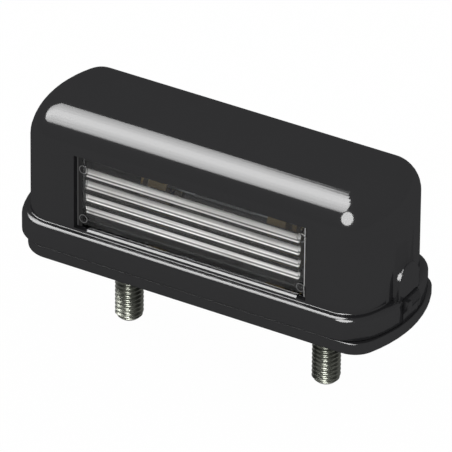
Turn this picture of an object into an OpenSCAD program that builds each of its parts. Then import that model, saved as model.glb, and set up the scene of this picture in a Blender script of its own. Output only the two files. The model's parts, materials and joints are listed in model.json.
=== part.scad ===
// Number plate lamp: a black hood with a fluted clear lens, clipped over a base plate with two studs.
// The origin is the centre of the mounting face, midway between the studs. +Z points out of the
// vehicle, +X runs along the lamp to the latch end, and the lens faces -Y.

/* [Base plate] */
// Length of the base plate over its bulged ends
base_l = 84.6; // [84:0.2:88]
// Width of the base plate
base_w = 31; // [30.4:0.1:33]
// How far the base plate's middle lies from the studs' middle
base_shift = 0.2; // [-0.2:0.05:0.4]
// Height of the base plate's edge
base_h = 3.1; // [3:0.1:4]
// Radius of the base plate's bulged ends
base_end_r = 30; // [26:1:45]
// Radius of the base plate's corners
base_corner_r = 5.8; // [4:0.2:8]
// Rounding of the base plate's lower edge
base_round = 1.3; // [0.4:0.1:1.4]
// Width of the rim around the gasket
rim_w = 2.2; // [1.8:0.1:2.6]
// Thickness of the upstand that holds the hood seal
upstand_t = 1.3; // [1:0.1:1.6]
// Height of the upstand above the base plate's edge
upstand_h = 2.1; // [1.5:0.1:2.5]

/* [Hood] */
// Height of the lamp from the mounting face to the hood's top
lamp_h = 32.9; // [32.5:0.1:38]
// How much longer the hood's skirt is than the base plate
skirt_over_l = 1.4; // [1:0.1:2]
// How much wider the hood's skirt is than the base plate
skirt_over_w = 0.3; // [0.1:0.1:0.8]
// How far the hood's middle lies from the studs' middle
hood_shift = -1; // [-1.2:0.05:-0.3]
// Radius of the skirt's bulged ends
skirt_end_r = 27; // [25:0.5:34]
// Radius of the skirt's corners
skirt_corner_r = 8.2; // [7:0.2:9]
// Height of the skirt's top edge above the mounting face
skirt_top = 8.3; // [8.1:0.1:9]
// Rounding of the skirt's top edge
bead_r = 0.8; // [0.6:0.1:1.4]
// How far the skirt stands out from the hood's long walls
side_step = 1.65; // [1.5:0.05:1.8]
// How far the skirt stands out from the hood's end walls
end_step = 1.75; // [1.6:0.05:1.9]
// Radius of the end walls' bulge
wall_end_r = 25; // [24:0.5:30]
// Radius of the corners between the hood's walls
wall_corner_r = 6.8; // [6:0.1:7.4]
// Thickness of the skirt
skirt_t = 1.7; // [1.4:0.1:1.8]
// Thickness of the hood's wall
hood_wall = 2; // [1.6:0.1:2.4]
// Rounding of the hood's top edge
top_r = 7.4; // [6:0.1:8]
// How far the walls lean in between the skirt and the top rounding
draft = 0.05; // [0:0.05:0.5]
// Gap between the skirt and the base plate
parting_gap = 0.15; // [0.1:0.05:0.3]

/* [Lens] */
// Length of the window
window_l = 52.4; // [48:0.1:56]
// Height of the window
window_h = 16.7; // [16:0.1:17.5]
// Height of the window's lower edge above the skirt
window_sill = 0.6; // [0.4:0.1:1]
// How far the window's middle lies from the studs' middle
window_shift = -0.45; // [-1:0.05:1]
// How far the lens lies behind the hood's front
lens_recess = 1; // [0.6:0.1:1.2]
// Thickness of the lens's pane between its flutes
lens_t = 1.2; // [1:0.1:1.5]
// Thickness of the walls around the pane
lens_rim = 0.9; // [0.8:0.1:1.2]
// How far the lens reaches behind the window's edge
lens_lap = 1.2; // [0.8:0.1:1.4]
// Number of flutes
flutes = 4; // [3:1:4]
// Distance from one flute to the next
flute_pitch = 2.8; // [2.6:0.1:3]
// Radius of a flute
flute_r = 1.15; // [0.9:0.05:1.25]
// Height of the flutes' middle above the window's lower edge
flute_mid = 8.2; // [7.8:0.1:8.8]
// Width of the plain strip at each end of the flutes
plain_strip = 1.5; // [1.3:0.1:4]
// Radius of the round moulding marks in the lens's corners
mark_r = 1; // [0.8:0.1:1.2]

/* [Studs] */
// Distance between the two studs
stud_spacing = 46; // [44:0.1:48]
// Outside diameter of the stud's thread
stud_d = 5.9; // [5.8:0.05:6]
// Length of the stud below the mounting face
stud_l = 18; // [12:0.5:25]
// Chamfer of the stud's end
stud_chamfer = 0.9; // [0.5:0.1:1.2]
// Diameter of the plain shank inside the base plate
shank_d = 5.3; // [5:0.05:5.6]
// Width across the flats of the stud's head
head_flats = 10; // [9.8:0.1:10.2]
// Height of the stud's head
head_h = 3.6; // [3:0.1:4]

/* [Bulb] */
// Length of the festoon bulb over its points
bulb_l = 36; // [35:0.5:37]
// Diameter of the glass
bulb_d = 10.5; // [10:0.5:11]
// Diameter of the end caps
cap_d = 7.6; // [7:0.1:8]
// Length of an end cap's straight part
cap_l = 4.6; // [4:0.1:5]
// Height of the bulb's axis above the mounting face
bulb_z = 16.6; // [16.4:0.1:18]
// Place of the bulb's axis across the lamp
bulb_y = -1; // [-2:0.1:0]
// Thickness of the glass
glass_t = 0.6; // [0.5:0.1:0.8]
// Thickness of the contact strips
strip_t = 0.5; // [0.4:0.05:0.6]
// Width of the contact strips
strip_w = 6; // [5.5:0.1:6.5]

/* [Reflector] */
// Room between the reflector's trough and half the hood's inner width
reflector_gap = 1.6; // [1.4:0.1:2.4]
// Length of the reflector
reflector_l = 53; // [48:1:54]
// Thickness of the reflector's sheet
reflector_t = 0.5; // [0.4:0.1:0.6]

/* [Latch and cable] */
// Width of the latch tongue
tongue_w = 5.9; // [5.4:0.1:6.6]
// Half the width of the arch above the latch
arch_r = 4; // [3.6:0.1:5]
// Height of the arch's springing above the mounting face
arch_z = 11.2; // [10.5:0.1:13]
// How far the arch's face lies in from the skirt's end
arch_inset = 0.5; // [0.3:0.05:0.8]
// Radius of the hole through the cable grommet
cable_r = 2.2; // [1.8:0.1:2.4]
// Distance of the cable grommet from the base plate's end
cable_inset = 7.5; // [7.3:0.1:7.6]

/* [Hidden] */

eps = 0.01;
fit_gap = 0.15;
cut = 60;
corner_steps = 8;
end_steps = 10;
round_steps = 12;
bead_steps = 5;

skirt_l = base_l + skirt_over_l;
skirt_w = base_w + skirt_over_w;
gasket_t = base_h * 0.4;
plate_top = base_h;
upstand_top = base_h + upstand_h;

// Places in the hood and between the hood and the base plate
skirt_bottom = base_h + parting_gap;
seal_h = 1.5;
ledge_z = upstand_top + seal_h;
upstand_inset = skirt_t + fit_gap;
front_y = side_step - skirt_w / 2;
end_x = hood_shift + skirt_l / 2;

window_z = skirt_top + window_sill;
window_left = window_shift - window_l / 2;
window_right = window_shift + window_l / 2;
lens_front = front_y + draft / 2 + lens_recess;
lens_inner = front_y + hood_wall + draft + 0.3;
lens_back = lens_inner + 1;
lens_lap_top = 0.8 * lens_lap;
pane_back = lens_front + lens_t;
mark_h = 0.15;
flute_z = window_z + flute_mid;

stud_x = stud_spacing / 2;
stud_hole_r = stud_d / 2 + 0.1;
seal_seat_z = gasket_t + 0.8;
seal_seat_r = head_flats / 2 - 0.3;
head_z = base_h + 0.4;
boss_r = head_flats / sqrt(3) + 1;
boss_top = head_z + head_h + 0.2;

pedestal_top = boss_top + 0.4;
strip_x = bulb_l / 2 - 0.6;
pedestal_out = stud_x - boss_r - 0.2;
pedestal_in = 6.2;
rivet_x = pedestal_out - 2.2;
screw_step = 5;
screw_x = rivet_x - screw_step;
rivet_r = 1.25;
rivet_bore_r = 0.6;
rivet_head_r = 2.1;
thread_r = 1.3;
screw_hole_r = 1.6;
screw_head_r = 2.5;
screw_head_h = 1.5;
screw_slot = 0.8;
clamp_t = 0.8;

reflector_r = skirt_w / 2 - side_step - hood_wall - reflector_gap;
reflector_low = 30;
reflector_sweep = 150;
rail_y = bulb_y + reflector_r * cos(reflector_low);
rail_w = 2.4;
rail_l = 30;
rail_h = 4.6;
rail_top = base_h + rail_h;
leg_z = base_h + 2;
leg_top = bulb_z - reflector_r * sin(reflector_low);

arch_x = end_x - arch_inset;
latch_gap = 0.2;
tongue_top = skirt_top - latch_gap;
tongue_x = end_x + 0.1;
base_left = base_shift - base_l / 2;
tongue_t = 1.3;
head_low = base_h + 1.6;
head_out = 0.3;
nib_out = 1.05;
nib_w = 1.2;
nib_h = 2;
hook_w = 11;
hook_z = base_h + 0.8;
hook_h = 1.1;
hook_out = 0.4;

cable_x = base_l / 2 - base_shift - cable_inset;
grommet_r = 3.4;
grommet_lip = 1.1;
grommet_head = 1.6;

// Where the bulb's caps end and where its glass leaves them, from the bulb's middle
point_h = 1.8;
cap_out = bulb_l / 2 - point_h;
glass_half = cap_out - cap_l;

black = [0.035, 0.035, 0.04];
rubber = [0.06, 0.06, 0.06];
zinc = [0.62, 0.63, 0.58];
brass = [0.78, 0.6, 0.3];
clear = [0.85, 0.88, 0.9, 0.4];

// The plan of a plate with straight sides, bulged ends and round corners, drawn inward by inset.
// Each corner's arc is tangent to the side and to the end's arc.
function plan(l, w, end_r, corner_r, inset = 0) =
    let (
        half_w = w / 2 - inset,
        er = end_r - inset,
        cr = max(corner_r - inset, 0.2),
        ex = l / 2 - end_r,
        cy = half_w - cr,
        cx = ex + sqrt((er - cr) * (er - cr) - cy * cy),
        turn = asin(cy / (er - cr)),
        right = concat(
            [for (i = [0 : corner_steps]) let (a = -90 + (90 - turn) * i / corner_steps)
                [cx + cr * cos(a), -cy + cr * sin(a)]],
            [for (i = [1 : end_steps - 1]) let (a = -turn + 2 * turn * i / end_steps)
                [ex + er * cos(a), er * sin(a)]],
            [for (i = [0 : corner_steps]) let (a = turn + (90 - turn) * i / corner_steps)
                [cx + cr * cos(a), cy + cr * sin(a)]])
    )
    concat(right, [for (p = right) [-p.x, -p.y]]);

function base_plan(inset = 0) =
    [for (p = plan(base_l, base_w, base_end_r, base_corner_r, inset)) [p.x + base_shift, p.y]];

function skirt_plan(inset = 0) =
    [for (p = plan(skirt_l, skirt_w, skirt_end_r, skirt_corner_r, inset)) [p.x + hood_shift, p.y]];

function wall_plan(inset = 0) =
    [for (p = plan(skirt_l - 2 * end_step, skirt_w - 2 * side_step, wall_end_r, wall_corner_r, inset))
        [p.x + hood_shift, p.y]];

// A closed solid through level rings of as many points each, from the lowest ring to the highest
module loft(rings) {
    n = len(rings[0]);
    m = len(rings);
    points = [for (r = rings) each r];
    sides = [for (k = [0 : m - 2], i = [0 : n - 1]) let (j = (i + 1) % n)
        each [[k * n + i, (k + 1) * n + i, (k + 1) * n + j], [k * n + i, (k + 1) * n + j, k * n + j]]];
    bottom = [for (i = [0 : n - 1]) i];
    top = [for (i = [0 : n - 1]) (m - 1) * n + n - 1 - i];
    polyhedron(points, concat(sides, [bottom, top]));
}

// Level rings from steps of [height, inset from the outline]
function base_rings(steps) = [for (s = steps) [for (p = base_plan(s[1])) [p.x, p.y, s[0]]]];

function skirt_rings(steps) = [for (s = steps) [for (p = skirt_plan(s[1])) [p.x, p.y, s[0]]]];

function wall_rings(steps) = [for (s = steps) [for (p = wall_plan(s[1])) [p.x, p.y, s[0]]]];

// Steps of a wall that leans in from bottom to the start of a quarter round of radius r
function dome_steps(bottom, inset, r, top) =
    concat([[bottom, inset]],
        [for (i = [0 : round_steps]) let (a = 90 * i / round_steps)
            [top - r + r * sin(a), inset + draft + r * (1 - cos(a))]]);

module ring_wall(outer, inner, h) {
    linear_extrude(h) difference() {
        polygon(outer);
        polygon(inner);
    }
}

module hexagon(flats, h) {
    rotate(30) cylinder(h = h, r = flats / sqrt(3), $fn = 6);
}

module disc(r, z0, z1) {
    translate([0, 0, z0]) cylinder(h = z1 - z0, r = r, $fn = 64);
}

module block(low, high) {
    translate(low) cube(high - low);
}

// Places its children at the left end for side -1 and at the right end for side 1
module at_side(side) {
    if (side < 0) mirror([1, 0, 0]) children();
    else children();
}

// The outside of the hood: skirt, rounded bead, leaning wall and rounded top
module hood_outside() {
    loft(concat(
        skirt_rings(concat([[skirt_bottom, 0]],
            [for (i = [0 : bead_steps]) let (a = 90 * i / bead_steps)
                [skirt_top - bead_r + bead_r * sin(a), bead_r * (1 - cos(a))]])),
        wall_rings(dome_steps(skirt_top, 0, top_r, lamp_h))));
}

// The room inside the hood, wider behind the skirt
module hood_inside() {
    loft(concat(
        skirt_rings([[skirt_bottom - 1, skirt_t], [ledge_z, skirt_t]]),
        wall_rings(dome_steps(ledge_z, hood_wall, top_r - hood_wall, lamp_h - hood_wall))));
}

// The raised arch over the latch on the end wall
module latch_arch() {
    depth = end_step + hood_wall;
    translate([arch_x - depth, 0, arch_z]) rotate([0, 90, 0])
        cylinder(h = depth, r = arch_r, $fn = 72);
    block([arch_x - depth, -arch_r, skirt_top - bead_r], [arch_x, arch_r, arch_z]);
}

// The opening that the base plate's tongue springs into
module latch_opening() {
    half = tongue_w / 2 + latch_gap;
    block([tongue_x - tongue_t - latch_gap, -half, 0], [end_x + 5, half, tongue_top + latch_gap]);
}

// The recess that hooks over the base plate's lug
module hook_recess() {
    half = hook_w / 2 + latch_gap;
    block([base_left - hook_out - latch_gap, -half, hook_z - latch_gap],
        [base_left + 4, half, hook_z + hook_h + latch_gap]);
}

module hood() {
    color(black) difference() {
        union() {
            hood_outside();
            latch_arch();
        }
        hood_inside();
        block([window_left, front_y - 5, window_z], [window_right, front_y + 5, window_z + window_h]);
        latch_opening();
        hook_recess();
    }
}

// The lens is a shallow tray that fills the window and laps behind its edge, with flutes on the inside
module lens() {
    left = window_left + fit_gap;
    right = window_right - fit_gap;
    low_z = window_z + fit_gap;
    high_z = window_z + window_h - fit_gap;
    color(clear) union() {
        difference() {
            union() {
                block([left, lens_front, low_z], [right, lens_back, high_z]);
                block([left - lens_lap, lens_inner, low_z - lens_lap], [right + lens_lap, lens_back, high_z + lens_lap_top]);
            }
            block([left + lens_rim, pane_back, low_z + lens_rim], [right - lens_rim, lens_back + 1, high_z - lens_rim]);
        }
        for (i = [0 : flutes - 1])
            translate([left + plain_strip, pane_back - eps, flute_z + (i - (flutes - 1) / 2) * flute_pitch])
                rotate([0, 90, 0]) cylinder(h = right - left - 2 * plain_strip, r = flute_r, $fn = 48);
        for (x = [left + 1.5 * mark_r, right - 1.5 * mark_r], z = [low_z + 2 * mark_r, high_z - 3 * mark_r])
            translate([x, lens_front + eps, z]) rotate([90, 0, 0]) cylinder(h = mark_h, r = mark_r, $fn = 32);
    }
}

module stud_place(side) {
    translate([side * stud_x, 0, 0]) children();
}

// Round boss with a hexagonal pocket that stops the stud from turning
module stud_boss() {
    disc(boss_r, plate_top - eps, boss_top);
}

module stud_bore() {
    disc(stud_hole_r, -1, boss_top + 1);
    disc(seal_seat_r, seal_seat_z, head_z + eps);
    translate([0, 0, head_z]) hexagon(head_flats + 2 * fit_gap, cut);
}

// Block that carries a contact strip, with holes for its rivet and its screw
module pedestal() {
    half = strip_w / 2 + 0.8;
    difference() {
        block([pedestal_in, bulb_y - half, plate_top - eps], [pedestal_out, bulb_y + half, pedestal_top]);
        translate([rivet_x, bulb_y, plate_top]) disc(rivet_r, 0, cut);
        translate([screw_x, bulb_y, plate_top]) disc(thread_r, 0, cut);
    }
}

// Low wall with a slot for the reflector's foot
module reflector_rail() {
    difference() {
        block([-rail_l / 2, rail_y - rail_w / 2, plate_top - eps], [rail_l / 2, rail_y + rail_w / 2, rail_top]);
        block([-rail_l / 2 - 1, rail_y - reflector_t / 2 - 0.1, leg_z], [rail_l / 2 + 1, rail_y + reflector_t / 2 + 0.1, cut]);
    }
}

// Springy tongue with a rounded head, and a small nib at its end to press it in by
module latch_tongue() {
    head_r = (tongue_top - head_low) / 2;
    root = tongue_x - tongue_t;
    half = tongue_w / 2;
    block([root, -half, plate_top - eps], [tongue_x - head_out, half, tongue_top]);
    intersection() {
        translate([tongue_x + head_out - head_r, -half, head_low + head_r])
            rotate([-90, 0, 0]) cylinder(h = tongue_w, r = head_r, $fn = 48);
        block([root, -half, head_low], [cut, half, tongue_top]);
    }
    block([root, -half, tongue_top - nib_h], [tongue_x + nib_out, nib_w - half, tongue_top]);
}

module base_plate() {
    color(black) difference() {
        union() {
            loft(base_rings(concat(
                [for (i = [0 : bead_steps]) let (a = 90 * i / bead_steps)
                    [base_round * (1 - cos(a)), base_round * (1 - sin(a))]],
                [[base_h, 0]])));
            difference() {
                translate([0, 0, base_h - eps])
                    ring_wall(skirt_plan(upstand_inset), skirt_plan(upstand_inset + upstand_t), upstand_h + eps);
                block([tongue_x - tongue_t - 0.6, -tongue_w, base_h], [cut, tongue_w, cut]);
            }
            block([base_left - hook_out, -hook_w / 2, hook_z], [base_left + 3, hook_w / 2, hook_z + hook_h]);
            for (side = [-1, 1]) {
                stud_place(side) stud_boss();
                at_side(side) pedestal();
            }
            reflector_rail();
            latch_tongue();
        }
        translate([0, 0, -1]) linear_extrude(gasket_t + 1) polygon(base_plan(rim_w));
        for (side = [-1, 1]) stud_place(side) stud_bore();
        translate([-cable_x, 0, 0]) disc(grommet_r, 0, cut);
    }
}

// Soft ring between the base plate's upstand and the hood's ledge
module hood_seal() {
    color(rubber) translate([0, 0, upstand_top])
        ring_wall(skirt_plan(upstand_inset + 0.1), skirt_plan(upstand_inset + upstand_t + 0.5), seal_h);
}

module mounting_gasket() {
    color(rubber) difference() {
        linear_extrude(gasket_t) polygon(base_plan(rim_w + fit_gap));
        for (side = [-1, 1]) stud_place(side) disc(stud_hole_r + 0.2, -1, cut);
        translate([-cable_x, 0, 0]) disc(grommet_r + grommet_lip + fit_gap, -1, cut);
    }
}

// Rubber grommet, held by its neck in the base plate
module cable_grommet() {
    lip_r = grommet_r + grommet_lip;
    head_top = plate_top + grommet_head;
    color(rubber) translate([-cable_x, 0, 0]) rotate_extrude($fn = 64) polygon([
        [cable_r, 0.1], [lip_r - 0.4, 0.1], [lip_r, 0.5], [lip_r, gasket_t], [grommet_r, gasket_t],
        [grommet_r, plate_top], [lip_r, plate_top], [lip_r - 0.8, head_top], [cable_r, head_top]]);
}

module stud(side) {
    r = stud_d / 2;
    color(zinc) stud_place(side) union() {
        rotate_extrude($fn = 64) polygon([[0, -stud_l], [r - stud_chamfer, -stud_l],
            [r, -stud_l + stud_chamfer], [r, 0], [shank_d / 2, 0], [shank_d / 2, head_z + eps], [0, head_z + eps]]);
        translate([0, 0, head_z]) hexagon(head_flats, head_h);
    }
}

module stud_seal(side) {
    color(rubber) stud_place(side) difference() {
        disc(seal_seat_r - 0.1, seal_seat_z, head_z);
        disc(shank_d / 2, 0, cut);
    }
}

module bulb_place() {
    translate([0, bulb_y, bulb_z]) rotate([0, 90, 0]) children();
}

// Drawn glass tube that narrows to a neck inside each cap
module bulb_glass() {
    r = bulb_d / 2;
    neck_r = cap_d / 2 - 0.35;
    shoulder = 2.6;
    outer = [[neck_r, glass_half + 2], [neck_r, glass_half], [r - 0.5, glass_half - shoulder + 0.6],
        [r, glass_half - shoulder - 0.8]];
    inner = [[r - glass_t, glass_half - shoulder - 0.9], [r - 0.5 - glass_t, glass_half - shoulder + 0.3],
        [neck_r - glass_t, glass_half - 0.3], [neck_r - glass_t, glass_half + 2]];
    profile = concat([for (i = [0 : 3]) outer[i]], [for (i = [3 : -1 : 0]) [outer[i].x, -outer[i].y]],
        [for (i = [3 : -1 : 0]) [inner[i].x, -inner[i].y]], [for (i = [0 : 3]) inner[i]]);
    color([0.9, 0.93, 0.95, 0.3]) bulb_place() rotate_extrude($fn = 64) polygon(profile);
}

// Turned cap with a pointed end that seats in the contact strip
module bulb_cap(side) {
    r = cap_d / 2;
    color([0.8, 0.72, 0.5]) at_side(side) bulb_place() rotate_extrude($fn = 64) polygon([
        [r - 0.3, glass_half], [r, glass_half], [r, cap_out - 0.4], [r - 0.4, cap_out], [1.6, cap_out],
        [0.5, bulb_l / 2], [0, bulb_l / 2], [0, cap_out - 0.6], [r - 0.3, cap_out - 0.6]]);
}

// Filament coil on its two support wires, simplified to a thin rod
module bulb_filament() {
    wire_r = 0.25;
    coil_r = 0.45;
    coil_l = 14;
    color([0.4, 0.4, 0.42]) bulb_place() union() {
        translate([0, 0, -coil_l / 2]) cylinder(h = coil_l, r = coil_r, $fn = 24);
        translate([0, 0, -cap_out + 0.6]) cylinder(h = 2 * cap_out - 1.2, r = wire_r, $fn = 24);
    }
}

// Bent brass strip: a foot on the pedestal and an upright leaf with a seat for the bulb's point
module contact(side) {
    foot_in = pedestal_in + 0.3;
    seat_r = 0.95;
    color(brass) at_side(side) difference() {
        union() {
            block([foot_in, bulb_y - strip_w / 2, pedestal_top],
                [strip_x + strip_t, bulb_y + strip_w / 2, pedestal_top + strip_t]);
            block([strip_x, bulb_y - strip_w / 2, pedestal_top], [strip_x + strip_t, bulb_y + strip_w / 2, bulb_z]);
            translate([strip_x, bulb_y, bulb_z]) rotate([0, 90, 0]) cylinder(h = strip_t, r = strip_w / 2, $fn = 48);
        }
        translate([strip_x - 1, bulb_y, bulb_z]) rotate([0, 90, 0]) cylinder(h = 3, r = seat_r, $fn = 32);
        translate([rivet_x, bulb_y, 0]) disc(rivet_r, 0, cut);
        translate([screw_x, bulb_y, 0]) disc(screw_hole_r, 0, cut);
    }
}

// Hollow rivet with a rolled head
module contact_rivet(side) {
    top = pedestal_top + strip_t;
    color(brass) at_side(side) translate([rivet_x, bulb_y, 0]) rotate_extrude($fn = 48) polygon([
        [rivet_bore_r, plate_top + 1], [rivet_r, plate_top + 1], [rivet_r, top], [rivet_head_r, top],
        [rivet_head_r - 0.3, top + 0.6], [rivet_bore_r + 0.3, top + 0.6], [rivet_bore_r, top + 0.3]]);
}

// Cheese-head screw that clamps the wire
module terminal_screw(side) {
    clamp_top = pedestal_top + strip_t + clamp_t;
    color(zinc) at_side(side) translate([screw_x, bulb_y, 0]) difference() {
        union() {
            disc(thread_r, plate_top + 0.5, clamp_top + eps);
            disc(screw_head_r, clamp_top, clamp_top + screw_head_h);
        }
        block([-cut, -screw_slot / 2, clamp_top + screw_head_h / 2], [cut, screw_slot / 2, cut]);
    }
}

// Square clamping washer between the strip and the screw's head
module terminal_clamp(side) {
    low = pedestal_top + strip_t;
    color(zinc) at_side(side) translate([screw_x, bulb_y, 0]) difference() {
        block([-screw_head_r, -strip_w / 2, low], [screw_head_r, strip_w / 2, low + clamp_t]);
        disc(screw_hole_r, 0, cut);
    }
}

// Bright trough behind and above the bulb, with a foot in the rail's slot
module reflector() {
    outer = reflector_r + reflector_t / 2;
    inner = reflector_r - reflector_t / 2;
    color([0.9, 0.9, 0.92]) union() {
        translate([-reflector_l / 2, bulb_y, bulb_z]) rotate([90, 0, 90]) rotate(-reflector_low)
            linear_extrude(reflector_l) difference() {
                circle(r = outer, $fn = 96);
                circle(r = inner, $fn = 96);
                rotate(reflector_sweep) translate([-cut, 0]) square(2 * cut);
                translate([-cut, -2 * cut]) square(2 * cut);
            }
        block([-rail_l / 2, rail_y - reflector_t / 2, leg_z + 0.1], [rail_l / 2, rail_y + reflector_t / 2, leg_top + 0.2]);
    }
}

base_plate();
hood();
lens();
hood_seal();
mounting_gasket();
cable_grommet();
stud(-1);  // stud_left
stud(1);  // stud_right
stud_seal(-1);  // stud_seal_left
stud_seal(1);  // stud_seal_right
bulb_glass();
bulb_cap(-1);  // bulb_cap_left
bulb_cap(1);  // bulb_cap_right
bulb_filament();
contact(-1);  // contact_left
contact(1);  // contact_right
contact_rivet(-1);  // contact_rivet_left
contact_rivet(1);  // contact_rivet_right
terminal_screw(-1);  // terminal_screw_left
terminal_screw(1);  // terminal_screw_right
terminal_clamp(-1);  // terminal_clamp_left
terminal_clamp(1);  // terminal_clamp_right
reflector();
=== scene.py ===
import json
import math

import bmesh
import bpy
from mathutils import Matrix, Vector


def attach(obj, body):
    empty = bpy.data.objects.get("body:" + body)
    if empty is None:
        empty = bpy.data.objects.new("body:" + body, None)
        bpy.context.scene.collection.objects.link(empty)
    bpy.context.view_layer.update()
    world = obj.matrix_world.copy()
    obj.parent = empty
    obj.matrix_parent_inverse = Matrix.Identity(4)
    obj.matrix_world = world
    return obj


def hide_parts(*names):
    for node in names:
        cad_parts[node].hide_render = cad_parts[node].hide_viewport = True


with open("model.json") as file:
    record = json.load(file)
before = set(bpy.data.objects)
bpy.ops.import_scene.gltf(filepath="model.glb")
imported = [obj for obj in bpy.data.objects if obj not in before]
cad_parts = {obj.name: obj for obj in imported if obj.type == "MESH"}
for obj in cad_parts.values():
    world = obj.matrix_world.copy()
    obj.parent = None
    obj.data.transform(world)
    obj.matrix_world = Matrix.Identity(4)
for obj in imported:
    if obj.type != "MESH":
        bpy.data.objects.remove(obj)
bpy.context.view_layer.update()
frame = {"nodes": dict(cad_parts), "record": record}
nodes = frame["nodes"]
slots = {s["node"]: s["material_slot"] for s in frame["record"]["subparts"]}
mm = 0.001
white = (1, 1, 1, 1)
black = (0, 0, 0, 1)
print("frame loaded:", len(nodes), "nodes")


# Wraps a node socket, so that a sum on it adds a Math node, in shaders and in geometry alike
class Wire:
    def __init__(self, tree, socket=None):
        self.tree = tree
        self.socket = socket

    # Adds a node of any type, with its settings first and then the values or links of its sockets
    def node(self, kind, settings=None, inputs=None, output=0):
        made = self.tree.nodes.new(kind)
        for name, value in (settings or {}).items():
            if name == "stops":
                ramp = made.color_ramp
                while len(ramp.elements) < len(value):
                    ramp.elements.new(0.5)
                for element, (place, grey) in zip(ramp.elements, value):
                    element.position = place
                    element.color = (grey, grey, grey, 1)
            else:
                setattr(made, name, value)
        for name, value in (inputs or {}).items():
            if isinstance(value, Wire):
                self.tree.links.new(value.socket, made.inputs[name])
            else:
                made.inputs[name].default_value = value
        return Wire(self.tree, made.outputs[output] if made.outputs else None)

    def maths(self, operation, *values):
        return self.node("ShaderNodeMath", {"operation": operation}, dict(enumerate(values)))

    def __add__(self, other): return self.maths("ADD", self, other)
    def __radd__(self, other): return self.maths("ADD", other, self)
    def __sub__(self, other): return self.maths("SUBTRACT", self, other)
    def __rsub__(self, other): return self.maths("SUBTRACT", other, self)
    def __mul__(self, other): return self.maths("MULTIPLY", self, other)
    def __rmul__(self, other): return self.maths("MULTIPLY", other, self)
    def __truediv__(self, other): return self.maths("DIVIDE", self, other)
    def __rtruediv__(self, other): return self.maths("DIVIDE", other, self)
    def __gt__(self, other): return self.maths("GREATER_THAN", self, other)
    def __lt__(self, other): return self.maths("LESS_THAN", self, other)
    def __abs__(self): return self.maths("ABSOLUTE", self)


# A new material and its Principled shader, with the fixed values set
def newMaterial(name, fixed):
    material = bpy.data.materials.new(name)
    material.use_nodes = True
    shader = material.node_tree.nodes["Principled BSDF"]
    for socket, value in fixed.items():
        shader.inputs[socket].default_value = value
    return material, shader, Wire(material.node_tree)


def feed(w, shader, inputs):
    for name, value in inputs.items():
        w.tree.links.new(value.socket, shader.inputs[name])


def objectPlace(w):
    return w.node("ShaderNodeTexCoord", output="Object")


def axes(w, place):
    split = w.node("ShaderNodeSeparateXYZ", inputs={0: place})
    return [Wire(w.tree, s) for s in split.socket.node.outputs]


def noise(w, place, scale, detail=2.0, stretch=(1, 1, 1)):
    turned = w.node("ShaderNodeMapping", inputs={"Vector": place, "Scale": stretch})
    return w.node("ShaderNodeTexNoise", inputs={"Vector": turned, "Scale": scale, "Detail": detail})


def blend(w, factor, low, high, kind="MIX"):
    return w.node("ShaderNodeMix", {"data_type": "RGBA", "blend_type": kind}, {0: factor, 6: low, 7: high}, 2)


def bump(w, height, strength, distance=0.0001):
    return w.node("ShaderNodeBump", inputs={"Strength": strength, "Distance": distance, "Height": height})


# Joins a second shader to the material's first by a Mix Shader
def mixShaders(w, first, second, factor):
    mixed = w.node("ShaderNodeMixShader", inputs={0: factor, 1: Wire(w.tree, first.outputs[0]), 2: second})
    w.tree.links.new(mixed.socket, w.tree.nodes["Material Output"].inputs["Surface"])


cameraView = {
    "target": (-0.41, 0, 10.42),      # point that it looks at, in mm
    "azimuth": 30.07,
    "elevation": 31.57,
    "roll": 0.59,
    "distance": 1378.0,
    "lens": 549.56,
    "sensor": 36,
    "shift": 0.5 / 452,               # half a pixel
    "clip": (0.05, 20),
}


def makeCamera(v):
    a, e, roll = (math.radians(v[k]) for k in ("azimuth", "elevation", "roll"))
    back = Vector((math.sin(a) * math.cos(e), -math.cos(a) * math.cos(e), math.sin(e)))
    level = Vector((math.cos(a), math.sin(a), 0))
    upright = back.cross(level)
    right = math.cos(roll) * level + math.sin(roll) * upright
    up = math.cos(roll) * upright - math.sin(roll) * level
    data = bpy.data.cameras.new("photoCamera")
    data.lens = v["lens"]
    data.sensor_width = v["sensor"]
    data.clip_start, data.clip_end = v["clip"]
    data.shift_x = -v["shift"]
    data.shift_y = v["shift"]
    camera = bpy.data.objects.new("photoCamera", data)
    bpy.context.scene.collection.objects.link(camera)
    place = Vector(v["target"]) * mm + back * v["distance"] * mm
    turn = Matrix((right, up, back)).transposed().to_4x4()
    camera.matrix_world = Matrix.Translation(place) @ turn
    bpy.context.scene.camera = camera


makeCamera(cameraView)
print("camera made")

# Moulded black plastic: a dark body under an even, thin gloss
moulding = {
    "dark": (0.0165, 0.0165, 0.0178, 1), "light": (0.0195, 0.0195, 0.0208, 1), "cloudScale": 60,
    "gloss": 0.0155, "rough": 0.09, "roughSpread": 0.02, "grainScale": 900, "grainBump": 0.012,
}


def blackPlastic(v):
    material, shader, w = newMaterial("mouldedBlackPlastic", {"Specular IOR Level": 0.0})
    place = objectPlace(w)
    cloud = noise(w, place, v["cloudScale"], 3)
    fine = noise(w, place, v["grainScale"])
    rough = v["rough"] + cloud * v["roughSpread"]
    normal = bump(w, fine, v["grainBump"])
    feed(w, shader, {
        "Base Color": blend(w, cloud, v["dark"], v["light"]), "Roughness": rough, "Normal": normal})
    gloss = w.node("ShaderNodeBsdfPrincipled", inputs={
        "Base Color": white, "Metallic": 1.0, "Roughness": rough, "Normal": normal})
    mixShaders(w, shader, gloss, v["gloss"])
    return material


lensPane = {
    "colour": (0.86, 0.87, 0.87, 1), "ior": 1.25,
    "waveScale": 120, "waveBump": 0.03, "rough": 0.01, "roughSpread": 0.02,
}
bulbWall = {
    "colour": (0.98, 0.99, 0.99, 1), "ior": 1.3,
    "waveScale": 200, "waveBump": 0.05, "rough": 0.0, "roughSpread": 0.02,
}

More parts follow.
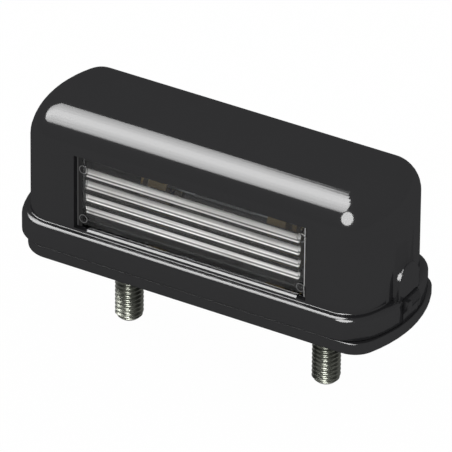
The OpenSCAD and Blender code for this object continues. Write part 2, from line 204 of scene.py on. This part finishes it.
# The cloudy bands where the lens's flutes stand behind its pane, in mm from the origin. Their grey is painted
# highlight and shade, standing in for the light that the flutes refract
paintedFluteLight = {
    "middle": 17.1, "pitch": 2.8, "count": 4, "radius": 1.15,
    "left": -25.9, "right": 22.9, "paneBack": -11.79, "cloud": 0.95, "rough": 0.35,
    "shadedCount": 2, "shadedFrom": 0.12, "shade": 0.94,      # painted shade: the lower flutes are painted dark above this height
    "streakScale": 420, "streakStretch": (0.12, 1, 5), "streakMiddle": 0.35, "streakContrast": 3.3,
    "low": (0.62, 0.605, 0.59, 1), "high": (1.12, 1.1, 1.07, 1),
    "stops": (      # painted highlights and shade, as a grey by height, from a flute's underside to its top
        (0.0, 0.02), (0.02, 0.1), (0.04, 0.3), (0.05, 0.9), (0.105, 0.98), (0.12, 0.2),
        (0.24, 0.22), (0.255, 0.72), (0.335, 0.68), (0.43, 0.55), (0.53, 0.42), (0.643, 0.27),
        (0.783, 0.15), (0.935, 0.05), (1.0, 0.02)),
}

# Painted highlights on the lens's front: pale upright strips by its ends, where its end edges catch light,
# and a pale ring on each moulded ring in the corners, where its rim catches light
paintedHighlightLines = {
    "front": -12.9,
    "strips": ((-27.6, -27.1, 0.1), (-27.1, -26.2, 0.032), (24.8, 24.98, 0.6)),      # from x, to x, grey
    "rings": ((-25.9, 22.45), (-25.9, 11.05), (24.1, 22.45), (24.1, 11.05)),         # middle in x and z
    "ringRadius": 0.9, "ringLine": 0.07, "ringGrey": 0.2,
}


# A clear material, a little wavy
def clearMaterial(name, v):
    material, shader, w = newMaterial(name, {
        "Base Color": v["colour"], "Transmission Weight": 1.0, "IOR": v["ior"]})
    place = objectPlace(w)
    wave = noise(w, place, v["waveScale"])
    feed(w, shader, {
        "Roughness": v["rough"] + wave * v["roughSpread"], "Normal": bump(w, wave, v["waveBump"])})
    return material, shader, w, place


# The bands' colour, painted highlights and shade by height in each flute under even streaks, and their share
# over the clear plastic
def paintFluteLightAndShade(w, place, v):
    x, y, z = axes(w, place)
    bottom = v["middle"] - v["pitch"] * v["count"] / 2
    turn = (z - bottom * mm) / (v["pitch"] * mm)
    height = (turn.maths("FRACT", turn) - 0.5) * v["pitch"]
    # painted highlights and shade across each flute, by its height
    grey = w.node("ShaderNodeValToRGB", {"stops": v["stops"]}, {0: (height / v["radius"] + 1) * 0.5})
    grain = noise(w, place, v["streakScale"], 3, v["streakStretch"])
    streaks = blend(w, (grain - v["streakMiddle"]) * v["streakContrast"], v["low"], v["high"])
    colour = blend(w, 1.0, grey, streaks, "MULTIPLY")
    # painted shade on the upper part of the two lower flutes
    shaded = (turn < v["shadedCount"]) * (height > v["shadedFrom"]) * v["shade"]
    colour = blend(w, shaded, colour, black)
    inside = (x > v["left"] * mm) * (x < v["right"] * mm) * (y > v["paneBack"] * mm)
    rows = (abs(height) < v["radius"]) * (abs(turn - v["count"] / 2) < v["count"] / 2)
    return colour, rows * inside * v["cloud"]


# A mask and a grey for each painted highlight
def findPaintedHighlights(w, place, v):
    x, y, z = axes(w, place)
    ahead = y < v["front"] * mm
    found = [((x > start * mm) * (x < end * mm) * ahead, grey) for start, end, grey in v["strips"]]
    for ringX, ringZ in v["rings"]:
        away = w.node("ShaderNodeVectorMath", {"operation": "DISTANCE"}, {
            0: place, 1: (ringX * mm, v["front"] * mm, ringZ * mm)}, "Value")
        line = abs(away - v["ringRadius"] * mm) < v["ringLine"] * mm
        found.append((line * ahead, v["ringGrey"]))
    return found


# The clear lens, with painted flute highlights and shade, and painted highlight lines on its front
def lensPlastic(pane, fluteLight, highlightLines):
    material, shader, w, place = clearMaterial("clearLensPlasticPaintedLight", pane)
    colour, share = paintFluteLightAndShade(w, place, fluteLight)
    for mask, grey in findPaintedHighlights(w, place, highlightLines):
        # the painted highlight lines go over the painted flute light
        colour = blend(w, mask, colour, (grey, grey, grey, 1))
        share = share + mask
    # a cloudy shader that shows the painted flute highlights and shade, and the painted highlight lines
    cloudyPaintedLight = w.node("ShaderNodeBsdfPrincipled", inputs={
        "Roughness": fluteLight["rough"], "Specular IOR Level": 0.0, "Base Color": colour})
    mixShaders(w, shader, cloudyPaintedLight, share)
    return material


softRubber = {
    "dark": (0.012, 0.012, 0.012, 1), "light": (0.022, 0.022, 0.022, 1), "cloudScale": 90,
    "specular": 0.3, "rough": 0.55, "roughSpread": 0.2, "grainScale": 1800, "grainBump": 0.2,
}


def rubber(v):
    material, shader, w = newMaterial("softRubber", {"Specular IOR Level": v["specular"]})
    place = objectPlace(w)
    fine = noise(w, place, v["grainScale"], 3)
    cloud = noise(w, place, v["cloudScale"])
    feed(w, shader, {
        "Base Color": blend(w, cloud, v["dark"], v["light"]),
        "Roughness": v["rough"] + cloud * v["roughSpread"], "Normal": bump(w, fine, v["grainBump"])})
    return material


metalSurface = {
    "cloudScale": 350, "cloudRough": 0.15, "grainScale": 4000, "grainRough": 0.05, "grainBump": 0.06,
}
metals = {      # for each slot: name, dark and light colour, roughness, stretch of the grain
    "zinc_steel": ("zincPlatedSteel", (0.05, 0.053, 0.046, 1), (0.1, 0.103, 0.088, 1), 0.24, (1, 1, 1)),
    "cap_metal": ("brassCapMetal", (0.17, 0.125, 0.06, 1), (0.23, 0.175, 0.09, 1), 0.35, (1, 1, 1)),
    "filament": ("tungstenWire", (0.3, 0.3, 0.32, 1), (0.42, 0.42, 0.44, 1), 0.35, (1, 1, 1)),
    "brass": ("brassStrip", (0.13, 0.085, 0.035, 1), (0.19, 0.13, 0.055, 1), 0.4, (1, 12, 1)),
    "reflector": ("dullReflector", (0.1, 0.1, 0.105, 1), (0.16, 0.16, 0.165, 1), 0.4, (1, 1, 1)),
}


def plated(v, name, dark, light, rough, stretch):
    material, shader, w = newMaterial(name, {"Metallic": 1.0})
    place = objectPlace(w)
    cloud = noise(w, place, v["cloudScale"], 3)
    fine = noise(w, place, v["grainScale"], 2, stretch)
    feed(w, shader, {
        "Base Color": blend(w, cloud, dark, light),
        "Roughness": rough + cloud * v["cloudRough"] + fine * v["grainRough"],
        "Normal": bump(w, fine, v["grainBump"])})
    return material


finishes = {
    "black_plastic": blackPlastic(moulding),
    "clear_plastic": lensPlastic(lensPane, paintedFluteLight, paintedHighlightLines),
    "rubber": rubber(softRubber),
    "bulb_glass": clearMaterial("bulbGlass", bulbWall)[0],
}
for slot, values in metals.items():
    finishes[slot] = plated(metalSurface, *values)
print("materials made:", len(finishes))


def addPiece(name, mesh, slot, nodeNames):
    piece = bpy.data.objects.new(name, mesh)
    bpy.context.scene.collection.objects.link(piece)
    mesh.materials.clear()
    mesh.materials.append(finishes[slot])
    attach(piece, "root")
    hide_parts(*nodeNames)


# How meshes are merged and mended, with distances in metres and angles in degrees
merging = {"weld": 2e-6, "shortEdge": 1e-6, "flatAngle": 0.1, "roundFrom": 40, "shortAfterRound": 2e-7}


# A merged copy of a CAD node's mesh, as a bmesh to work on
def mergedCopy(node):
    work = bmesh.new()
    work.from_mesh(nodes[node].data)
    bmesh.ops.remove_doubles(work, verts=work.verts, dist=merging["weld"])
    bmesh.ops.dissolve_degenerate(work, edges=work.edges, dist=merging["shortEdge"])
    bmesh.ops.dissolve_limit(work, angle_limit=math.radians(merging["flatAngle"]), verts=work.verts,
                             edges=work.edges, delimit={"NORMAL"})
    return work


# Rounds the sharp edges that a test picks out, outer corners or inner ones, by a radius in mm
def roundEdges(work, test, radius, segments=3, outer=True):
    picked = [e for e in work.edges if len(e.link_faces) == 2 and e.is_convex == outer
              and e.calc_face_angle(0) > math.radians(merging["roundFrom"])
              and all(test(v.co / mm) for v in e.verts)]
    bmesh.ops.bevel(work, geom=picked, offset=radius * mm, offset_type="OFFSET", segments=segments,
                    profile=0.5, affect="EDGES", clamp_overlap=False)
    bmesh.ops.dissolve_degenerate(work, edges=work.edges, dist=merging["shortAfterRound"])


# Slides the corners inside a box of x, y and z ranges along x, all in mm
def slide(work, box, shift):
    for p in work.verts:
        if all(low < c / mm < high for c, (low, high) in zip(p.co, box)):
            p.co.x += shift * mm


# Writes a bmesh into a mesh, shaded smooth but for edges past an angle in degrees
def fillMesh(work, mesh, angle):
    work.to_mesh(mesh)
    work.free()
    mesh.shade_smooth()
    mesh.set_sharp_from_angle(angle=math.radians(angle))


def finishPiece(work, node, name):
    mesh = bpy.data.meshes.new(name)
    fillMesh(work, mesh, 32)
    addPiece(name, mesh, slots[node], (node,))


# The hood, as in its solid but for a rounder bead on the skirt, rounded edges and two sloped ribs on the sill
hood = {
    "skirtTop": 8.3, "beadRadius": 0.8, "beadGrow": 1.6, "beadReach": 0.02, "levelError": 0.01,
    "latchX": 40.0, "latchHalf": 4.5,
    "archX": 41.5, "archLow": 8.5, "archRound": 0.42, "skirtLow": 3.25, "skirtRound": 0.15,
    "footRound": 0.3, "footClearX": 38, "footClearHalf": 6,
    "ribs": ((-14.0, 8.88), (-13.52, 9.17), (-13.44, 9.1), (-12.99, 9.36)),   # profile in y and z
    "ribSink": 0.1, "ribInset": 0.05, "ribLeft": -24.6, "ribRight": 23.6,
}
pickError = 0.02      # how far a corner may be from a face that it is picked by, in mm


# Swells the bead outwards from the skirt's foot, away from the latch
def growBead(work, v):
    low, high = v["skirtTop"] - v["beadRadius"], v["skirtTop"]
    foot = [p.co.copy() for p in work.verts if abs(p.co.z / mm - low) < v["levelError"]]
    for p in work.verts:
        x, y, z = (c / mm for c in p.co)
        if not low - v["levelError"] < z < high + v["levelError"]:
            continue
        if x > v["latchX"] and abs(y) < v["latchHalf"]:
            continue
        near = min(foot, key=lambda q: (q.xy - p.co.xy).length)
        if (near.xy - p.co.xy).length < (v["beadRadius"] + v["beadReach"]) * mm:
            p.co.xy = near.xy + (p.co.xy - near.xy) * v["beadGrow"]
            p.co.z = (high - (high - z) * v["beadGrow"]) * mm


# The ribs are one closed bar with its underside sunk in the sill
def addRibs(work, v):
    (firstY, firstZ), lastY = v["ribs"][0], v["ribs"][-1][0]
    sunk = firstZ - v["ribSink"]
    profile = list(v["ribs"]) + [(lastY, sunk), (firstY + v["ribInset"], sunk)]
    ends = [[work.verts.new((x * mm, y * mm, z * mm)) for y, z in profile]
            for x in (v["ribLeft"], v["ribRight"])]
    count = len(profile)
    faces = [work.faces.new(ends[0]), work.faces.new(ends[1][::-1])]
    for i in range(count):
        j = (i + 1) % count
        faces.append(work.faces.new((ends[0][j], ends[0][i], ends[1][i], ends[1][j])))
    bmesh.ops.recalc_face_normals(work, faces=faces)


def onArch(p):
    return abs(p.x - hood["archX"]) < pickError and p.z > hood["archLow"]


def onSkirtEdge(p):
    return abs(p.z - hood["skirtLow"]) < pickError


# The wall's foot on the skirt, clear of the latch
def onFoot(p):
    byLatch = p.x > hood["footClearX"] and abs(p.y) < hood["footClearHalf"]
    return abs(p.z - hood["skirtTop"]) < pickError and not byLatch


# The window's left end, and with it the lens's, lies further out than in the solids,
# and the flutes end earlier: boxes of x, y and z ranges, and how far they shift along x
window = {
    "hoodEnd": ((-26.8, -26.5), (-14.5, -11.0), (8.6, 26.0)), "hoodShift": -0.95,
    "lensEnd": ((-28.0, -23.9), (-14.0, -8.0), (7.0, 27.0)), "lensShift": -0.9,
    "fluteEnd": ((24.0, 24.2), (-11.9, -10.0), (11.0, 23.0)), "fluteShift": -1.2,
}

work = mergedCopy("hood")
slide(work, window["hoodEnd"], window["hoodShift"])
growBead(work, hood)
roundEdges(work, onArch, hood["archRound"])
roundEdges(work, onSkirtEdge, hood["skirtRound"], 2)
roundEdges(work, onFoot, hood["footRound"], outer=False)
addRibs(work, hood)
finishPiece(work, "hood", "hoodShell")
print("hood made")

# The base plate's nib at the end of its latch tongue, and its outer rim
rims = {"nibEnd": 43.1, "nibRound": 0.25, "rimTop": 3.1, "rimRound": 0.3, "rimSide": 8, "rimEnd": 40.5}


def onNib(p):
    return p.x > rims["nibEnd"]


def onRim(p):
    outside = abs(p.y) > rims["rimSide"] or abs(p.x) > rims["rimEnd"]
    return abs(p.z - rims["rimTop"]) < pickError and outside


# These keep the node's form, but for the ends of the lens and two edges of the base plate
smoothPieces = {
    "base_plate": "basePlate",
    "lens": "flutedLens",
    "bulb_glass": "bulbTube",
    "bulb_cap_left": "bulbCapLeft",
    "bulb_cap_right": "bulbCapRight",
    "cable_grommet": "cordGrommet",
    "contact_rivet_left": "rivetLeft",
    "contact_rivet_right": "rivetRight",
    "reflector": "reflectorTrough",
}
for node, name in smoothPieces.items():
    work = mergedCopy(node)
    if node == "lens":
        slide(work, window["lensEnd"], window["lensShift"])
        slide(work, window["fluteEnd"], window["fluteShift"])
    if node == "base_plate":
        roundEdges(work, onNib, rims["nibRound"])
        roundEdges(work, onRim, rims["rimRound"])
    finishPiece(work, node, name)
print("smooth copies made:", len(smoothPieces))


# A Geometry Nodes tree with named inputs
def newTree(name, inputs):
    tree = bpy.data.node_groups.new(name, "GeometryNodeTree")
    ids = {}
    for label, kind in inputs.items():
        ids[label] = tree.interface.new_socket(name=label, in_out="INPUT", socket_type=kind).identifier
    tree.interface.new_socket(name="Geometry", in_out="OUTPUT", socket_type="NodeSocketGeometry")
    start = tree.nodes.new("NodeGroupInput")
    given = {label: Wire(tree, start.outputs[label]) for label in inputs}
    return tree, ids, given, Wire(tree)


def endTree(w, shape, material):
    real = w.node("GeometryNodeRealizeInstances", inputs={0: shape})
    paint = w.node("GeometryNodeSetMaterial", inputs={0: real, "Material": material})
    w.node("NodeGroupOutput", inputs={0: paint})


# The tree's result for some values, as a plain mesh
def grow(tree, ids, values, name):
    holder = bpy.data.objects.new(name, bpy.data.meshes.new(name))
    bpy.context.scene.collection.objects.link(holder)
    modifier = holder.modifiers.new("grow", "NODES")
    modifier.node_group = tree
    for label, value in values.items():
        modifier[ids[label]] = value
    graph = bpy.context.evaluated_depsgraph_get()
    mesh = bpy.data.meshes.new_from_object(holder.evaluated_get(graph), depsgraph=graph)
    holder.modifiers.remove(modifier)
    bpy.data.objects.remove(holder)
    return mesh


def cosine(w, value): return w.maths("COSINE", value)
def sine(w, value): return w.maths("SINE", value)


def point(w, x, y, z):
    return w.node("ShaderNodeCombineXYZ", inputs={0: x, 1: y, 2: z})


# A closed straight rod about the matrix's middle, with its sizes in mm
def addRod(work, segments, radius, length, matrix):
    bmesh.ops.create_cone(work, cap_ends=True, segments=segments, radius1=radius * mm,
                          radius2=radius * mm, depth=length * mm, matrix=matrix)


# Studs: the threaded shaft is a sheet of rows bent round the stud's axis, its radius following the thread
stud = {
    "pitch": 1.0, "outer": 2.95, "depth": 0.5, "length": 18.0, "chamfer": 0.9,
    "flankSlope": 2.6, "crest": 0.1,      # the groove's depth over a turn, as shares of the full depth
    "shank": 2.65, "shankOverlap": 0.1, "headLow": 3.5, "headFlats": 10.0, "headHeight": 3.6,
    "around": 40, "perTurn": 10, "spacing": 46.0,
}


def threadTree(v, material):
    tree, ids, given, w = newTree("threadedShaft", {
        "Pitch": "NodeSocketFloat", "Radius": "NodeSocketFloat", "Depth": "NodeSocketFloat",
        "Length": "NodeSocketFloat", "Chamfer": "NodeSocketFloat",
        "Around": "NodeSocketInt", "Rows": "NodeSocketInt"})
    sheet = w.node("GeometryNodeMeshGrid", inputs={
        "Size X": 1.0, "Size Y": 1.0, "Vertices X": given["Around"], "Vertices Y": given["Rows"]})
    across, along = axes(w, w.node("GeometryNodeInputPosition"))[:2]
    across = across + 0.5
    down = (along + 0.5) * given["Length"]
    turns = down / given["Pitch"] + across
    groove = abs(w.maths("FRACT", turns) - 0.5) * v["flankSlope"] - v["crest"]
    groove = w.maths("MINIMUM", w.maths("MAXIMUM", groove, 0.0), 1.0)
    fade = w.maths("MINIMUM", down / given["Pitch"], 1.0)
    radius = given["Radius"] - given["Depth"] * groove * fade
    limit = given["Radius"] - given["Chamfer"] + given["Length"] - down
    radius = w.maths("MINIMUM", radius, limit)
    turn = across * (2 * math.pi)
    bent = w.node("GeometryNodeSetPosition", inputs={
        "Geometry": sheet,
        "Position": point(w, radius * cosine(w, turn), radius * sine(w, turn), down * -1.0)})
    joined = w.node("GeometryNodeMergeByDistance", inputs={
        "Geometry": bent, "Distance": merging["shortEdge"]})
    endTree(w, joined, material)
    return tree, ids


def makeStud(v, tree, ids, side, label):
    mesh = grow(tree, ids, {
        "Pitch": v["pitch"] * mm, "Radius": v["outer"] * mm, "Depth": v["depth"] * mm,
        "Length": v["length"] * mm, "Chamfer": v["chamfer"] * mm,
        "Around": v["around"] + 1, "Rows": int(v["length"] * v["perTurn"] / v["pitch"]) + 1}, "thread")
    work = bmesh.new()
    work.from_mesh(mesh)
    bmesh.ops.remove_doubles(work, verts=work.verts, dist=merging["shortEdge"])
    bmesh.ops.holes_fill(work, edges=[e for e in work.edges if e.is_boundary], sides=0)
    overlap = v["shankOverlap"]
    rods = (      # segments, radius, lower end and height
        (v["around"], v["shank"], -overlap, v["headLow"] + overlap),
        (6, v["headFlats"] / math.sqrt(3), v["headLow"], v["headHeight"]))
    turn = Matrix.Rotation(math.radians(30), 4, "Z")
    for segments, radius, low, height in rods:
        addRod(work, segments, radius, height, Matrix.Translation((0, 0, (low + height / 2) * mm)) @ turn)
    bmesh.ops.translate(work, verts=work.verts, vec=(side * v["spacing"] / 2 * mm, 0, 0))
    bmesh.ops.recalc_face_normals(work, faces=work.faces)
    fillMesh(work, mesh, 35)
    addPiece("threadedStud" + label.capitalize(), mesh, "zinc_steel", ("stud_" + label,))


shaftTree, shaftIds = threadTree(stud, finishes["zinc_steel"])
for side, label in ((-1, "left"), (1, "right")):
    makeStud(stud, shaftTree, shaftIds, side, label)
print("studs made")

# Filament: a wire wound in a coil between two straight support wires
filament = {
    "axis": (-1.0, 16.6),      # y and z
    "coil": 14.0, "coilRadius": 0.36, "turns": 26, "stepsPerTurn": 14, "wire": 0.09, "wireSides": 8,
    "support": 0.25, "supportSides": 16, "supportOverlap": 0.2, "reach": 15.6,
}


def coilTree(v, material):
    tree, ids, given, w = newTree("woundCoil", {
        "Turns": "NodeSocketFloat", "Radius": "NodeSocketFloat", "Length": "NodeSocketFloat",
        "Wire": "NodeSocketFloat", "Steps": "NodeSocketInt"})
    line = w.node("GeometryNodeMeshLine", inputs={"Count": given["Steps"], "Offset": (0.0, 0.0, 0.0)})
    share = w.node("GeometryNodeInputIndex") / (given["Steps"] - 1)
    turn = share * given["Turns"] * (2 * math.pi)
    along = (share - 0.5) * given["Length"]
    wound = w.node("GeometryNodeSetPosition", inputs={
        "Geometry": line,
        "Position": point(w, along, given["Radius"] * cosine(w, turn), given["Radius"] * sine(w, turn))})
    path = w.node("GeometryNodeMeshToCurve", inputs={0: wound})
    ring = w.node("GeometryNodeCurvePrimitiveCircle", inputs={
        "Resolution": v["wireSides"], "Radius": given["Wire"]})
    tube = w.node("GeometryNodeCurveToMesh", inputs={
        "Curve": path, "Profile Curve": ring, "Fill Caps": True})
    endTree(w, tube, material)
    return tree, ids


def makeFilament(v):
    tree, ids = coilTree(v, finishes["filament"])
    mesh = grow(tree, ids, {
        "Turns": float(v["turns"]), "Radius": v["coilRadius"] * mm, "Length": v["coil"] * mm,
        "Wire": v["wire"] * mm, "Steps": v["turns"] * v["stepsPerTurn"] + 1}, "coil")
    work = bmesh.new()
    work.from_mesh(mesh)
    inner = v["coil"] / 2 - v["supportOverlap"]
    length = v["reach"] - inner
    turn = Matrix.Rotation(math.radians(90), 4, "Y")
    for side in (-1, 1):
        place = Matrix.Translation((side * (inner + length / 2) * mm, 0, 0))
        addRod(work, v["supportSides"], v["support"], length, place @ turn)
    y, z = v["axis"]
    bmesh.ops.translate(work, verts=work.verts, vec=(0, y * mm, z * mm))
    bmesh.ops.recalc_face_normals(work, faces=work.faces)
    fillMesh(work, mesh, 50)
    addPiece("filamentCoil", mesh, "filament", ("bulb_filament",))


makeFilament(filament)
print("filament made")

# CAD nodes that keep their own mesh get their material here
for name, node in nodes.items():
    if not node.data.materials:
        node.data.materials.append(finishes[slots[name]])
    for materialSlot in node.material_slots:
        materialSlot.material = finishes[slots[name]]

# Floor, seen white by the camera and in glossy and clear surfaces, with a faint shadow
studio = {
    "floorZ": -18.2, "floorSize": 6.0, "floorGrey": 0.9, "floorRough": 0.9,
    "whiteShare": 0.985, "worldLevel": 0.9,
}


def makeFloor(v):
    mesh = bpy.data.meshes.new("studioFloor")
    h = v["floorSize"] / 2
    z = v["floorZ"] * mm
    mesh.from_pydata([(-h, -h, z), (h, -h, z), (h, h, z), (-h, h, z)], [], [(0, 1, 2, 3)])
    floor = bpy.data.objects.new("studioFloor", mesh)
    bpy.context.scene.collection.objects.link(floor)
    material, shader, w = newMaterial("paleFloor", {
        "Base Color": (v["floorGrey"],) * 3 + (1,), "Roughness": v["floorRough"], "Specular IOR Level": 0.0})
    rays = w.node("ShaderNodeLightPath").socket.node.outputs
    seen = Wire(w.tree, rays["Is Camera Ray"]) + Wire(w.tree, rays["Is Glossy Ray"])
    seen = seen + Wire(w.tree, rays["Is Transmission Ray"])
    glow = w.node("ShaderNodeEmission", inputs={"Color": white, "Strength": 1.0})
    mixShaders(w, shader, glow, w.maths("MINIMUM", seen, 1.0) * v["whiteShare"])
    mesh.materials.append(material)


def makeWorld(v):
    world = bpy.data.worlds.new("studioWorld")
    world.use_nodes = True
    background = world.node_tree.nodes["Background"]
    background.inputs["Color"].default_value = white
    background.inputs["Strength"].default_value = v["worldLevel"]
    bpy.context.scene.world = world


# A soft box overhead, lit unevenly in slices, and a round lamp in front. Both only show in glossy surfaces.
softBox = {
    "height": 1.2,
    "slices": (     # each from y to y, from x to x, as shares of the height, and its brightness
        (-0.88, -0.78, -1.18, -0.2, 18.0), (-0.78, -0.68, -1.36, -0.1, 24.0),
        (-0.68, -0.48, -1.53, 0.0, 28.0), (-0.48, -0.3, -1.6, 0.03, 33.0),
        (-0.3, -0.1, -1.62, 0.02, 37.5), (-0.1, 0.08, -1.62, -0.08, 37.0),
        (0.08, 0.26, -1.6, -0.25, 31.0), (0.26, 0.44, -1.55, -0.42, 26.0),
        (0.44, 0.62, -1.48, -0.49, 21.0)),
}
roundLamp = {"aim": (0.19, -0.785, 0.585), "away": 1.2, "size": 0.88, "bright": 36.0}


def addLamp(name, shape, size, bright, place, turn=Matrix()):
    area = size[0] * size[1] * (math.pi / 4 if shape == "ELLIPSE" else 1)
    light = bpy.data.lights.new(name, "AREA")
    light.shape = shape
    light.size, light.size_y = size
    light.energy = bright * math.pi * area
    lamp = bpy.data.objects.new(name, light)
    lamp.visible_diffuse = False
    lamp.visible_transmission = False
    bpy.context.scene.collection.objects.link(lamp)
    lamp.matrix_world = Matrix.Translation(place) @ turn


def makeSoftBox(v):
    height = v["height"]
    for number, (near, far, left, right, bright) in enumerate(v["slices"]):
        size = ((right - left) * height, (far - near) * height)
        place = ((left + right) / 2 * height, (near + far) / 2 * height, height)
        addLamp("softBox%d" % number, "RECTANGLE", size, bright, place)


def makeRoundLamp(v):
    aim = Vector(v["aim"]).normalized()
    turn = aim.to_track_quat("Z", "Y").to_matrix().to_4x4()
    addLamp("roundLamp", "ELLIPSE", (v["size"], v["size"]), v["bright"], aim * v["away"], turn)


makeFloor(studio)
makeWorld(studio)
makeSoftBox(softBox)
makeRoundLamp(roundLamp)
print("studio made")

scene = bpy.context.scene
scene.view_settings.view_transform = "Standard"

bpy.context.view_layer.update()
print("done")
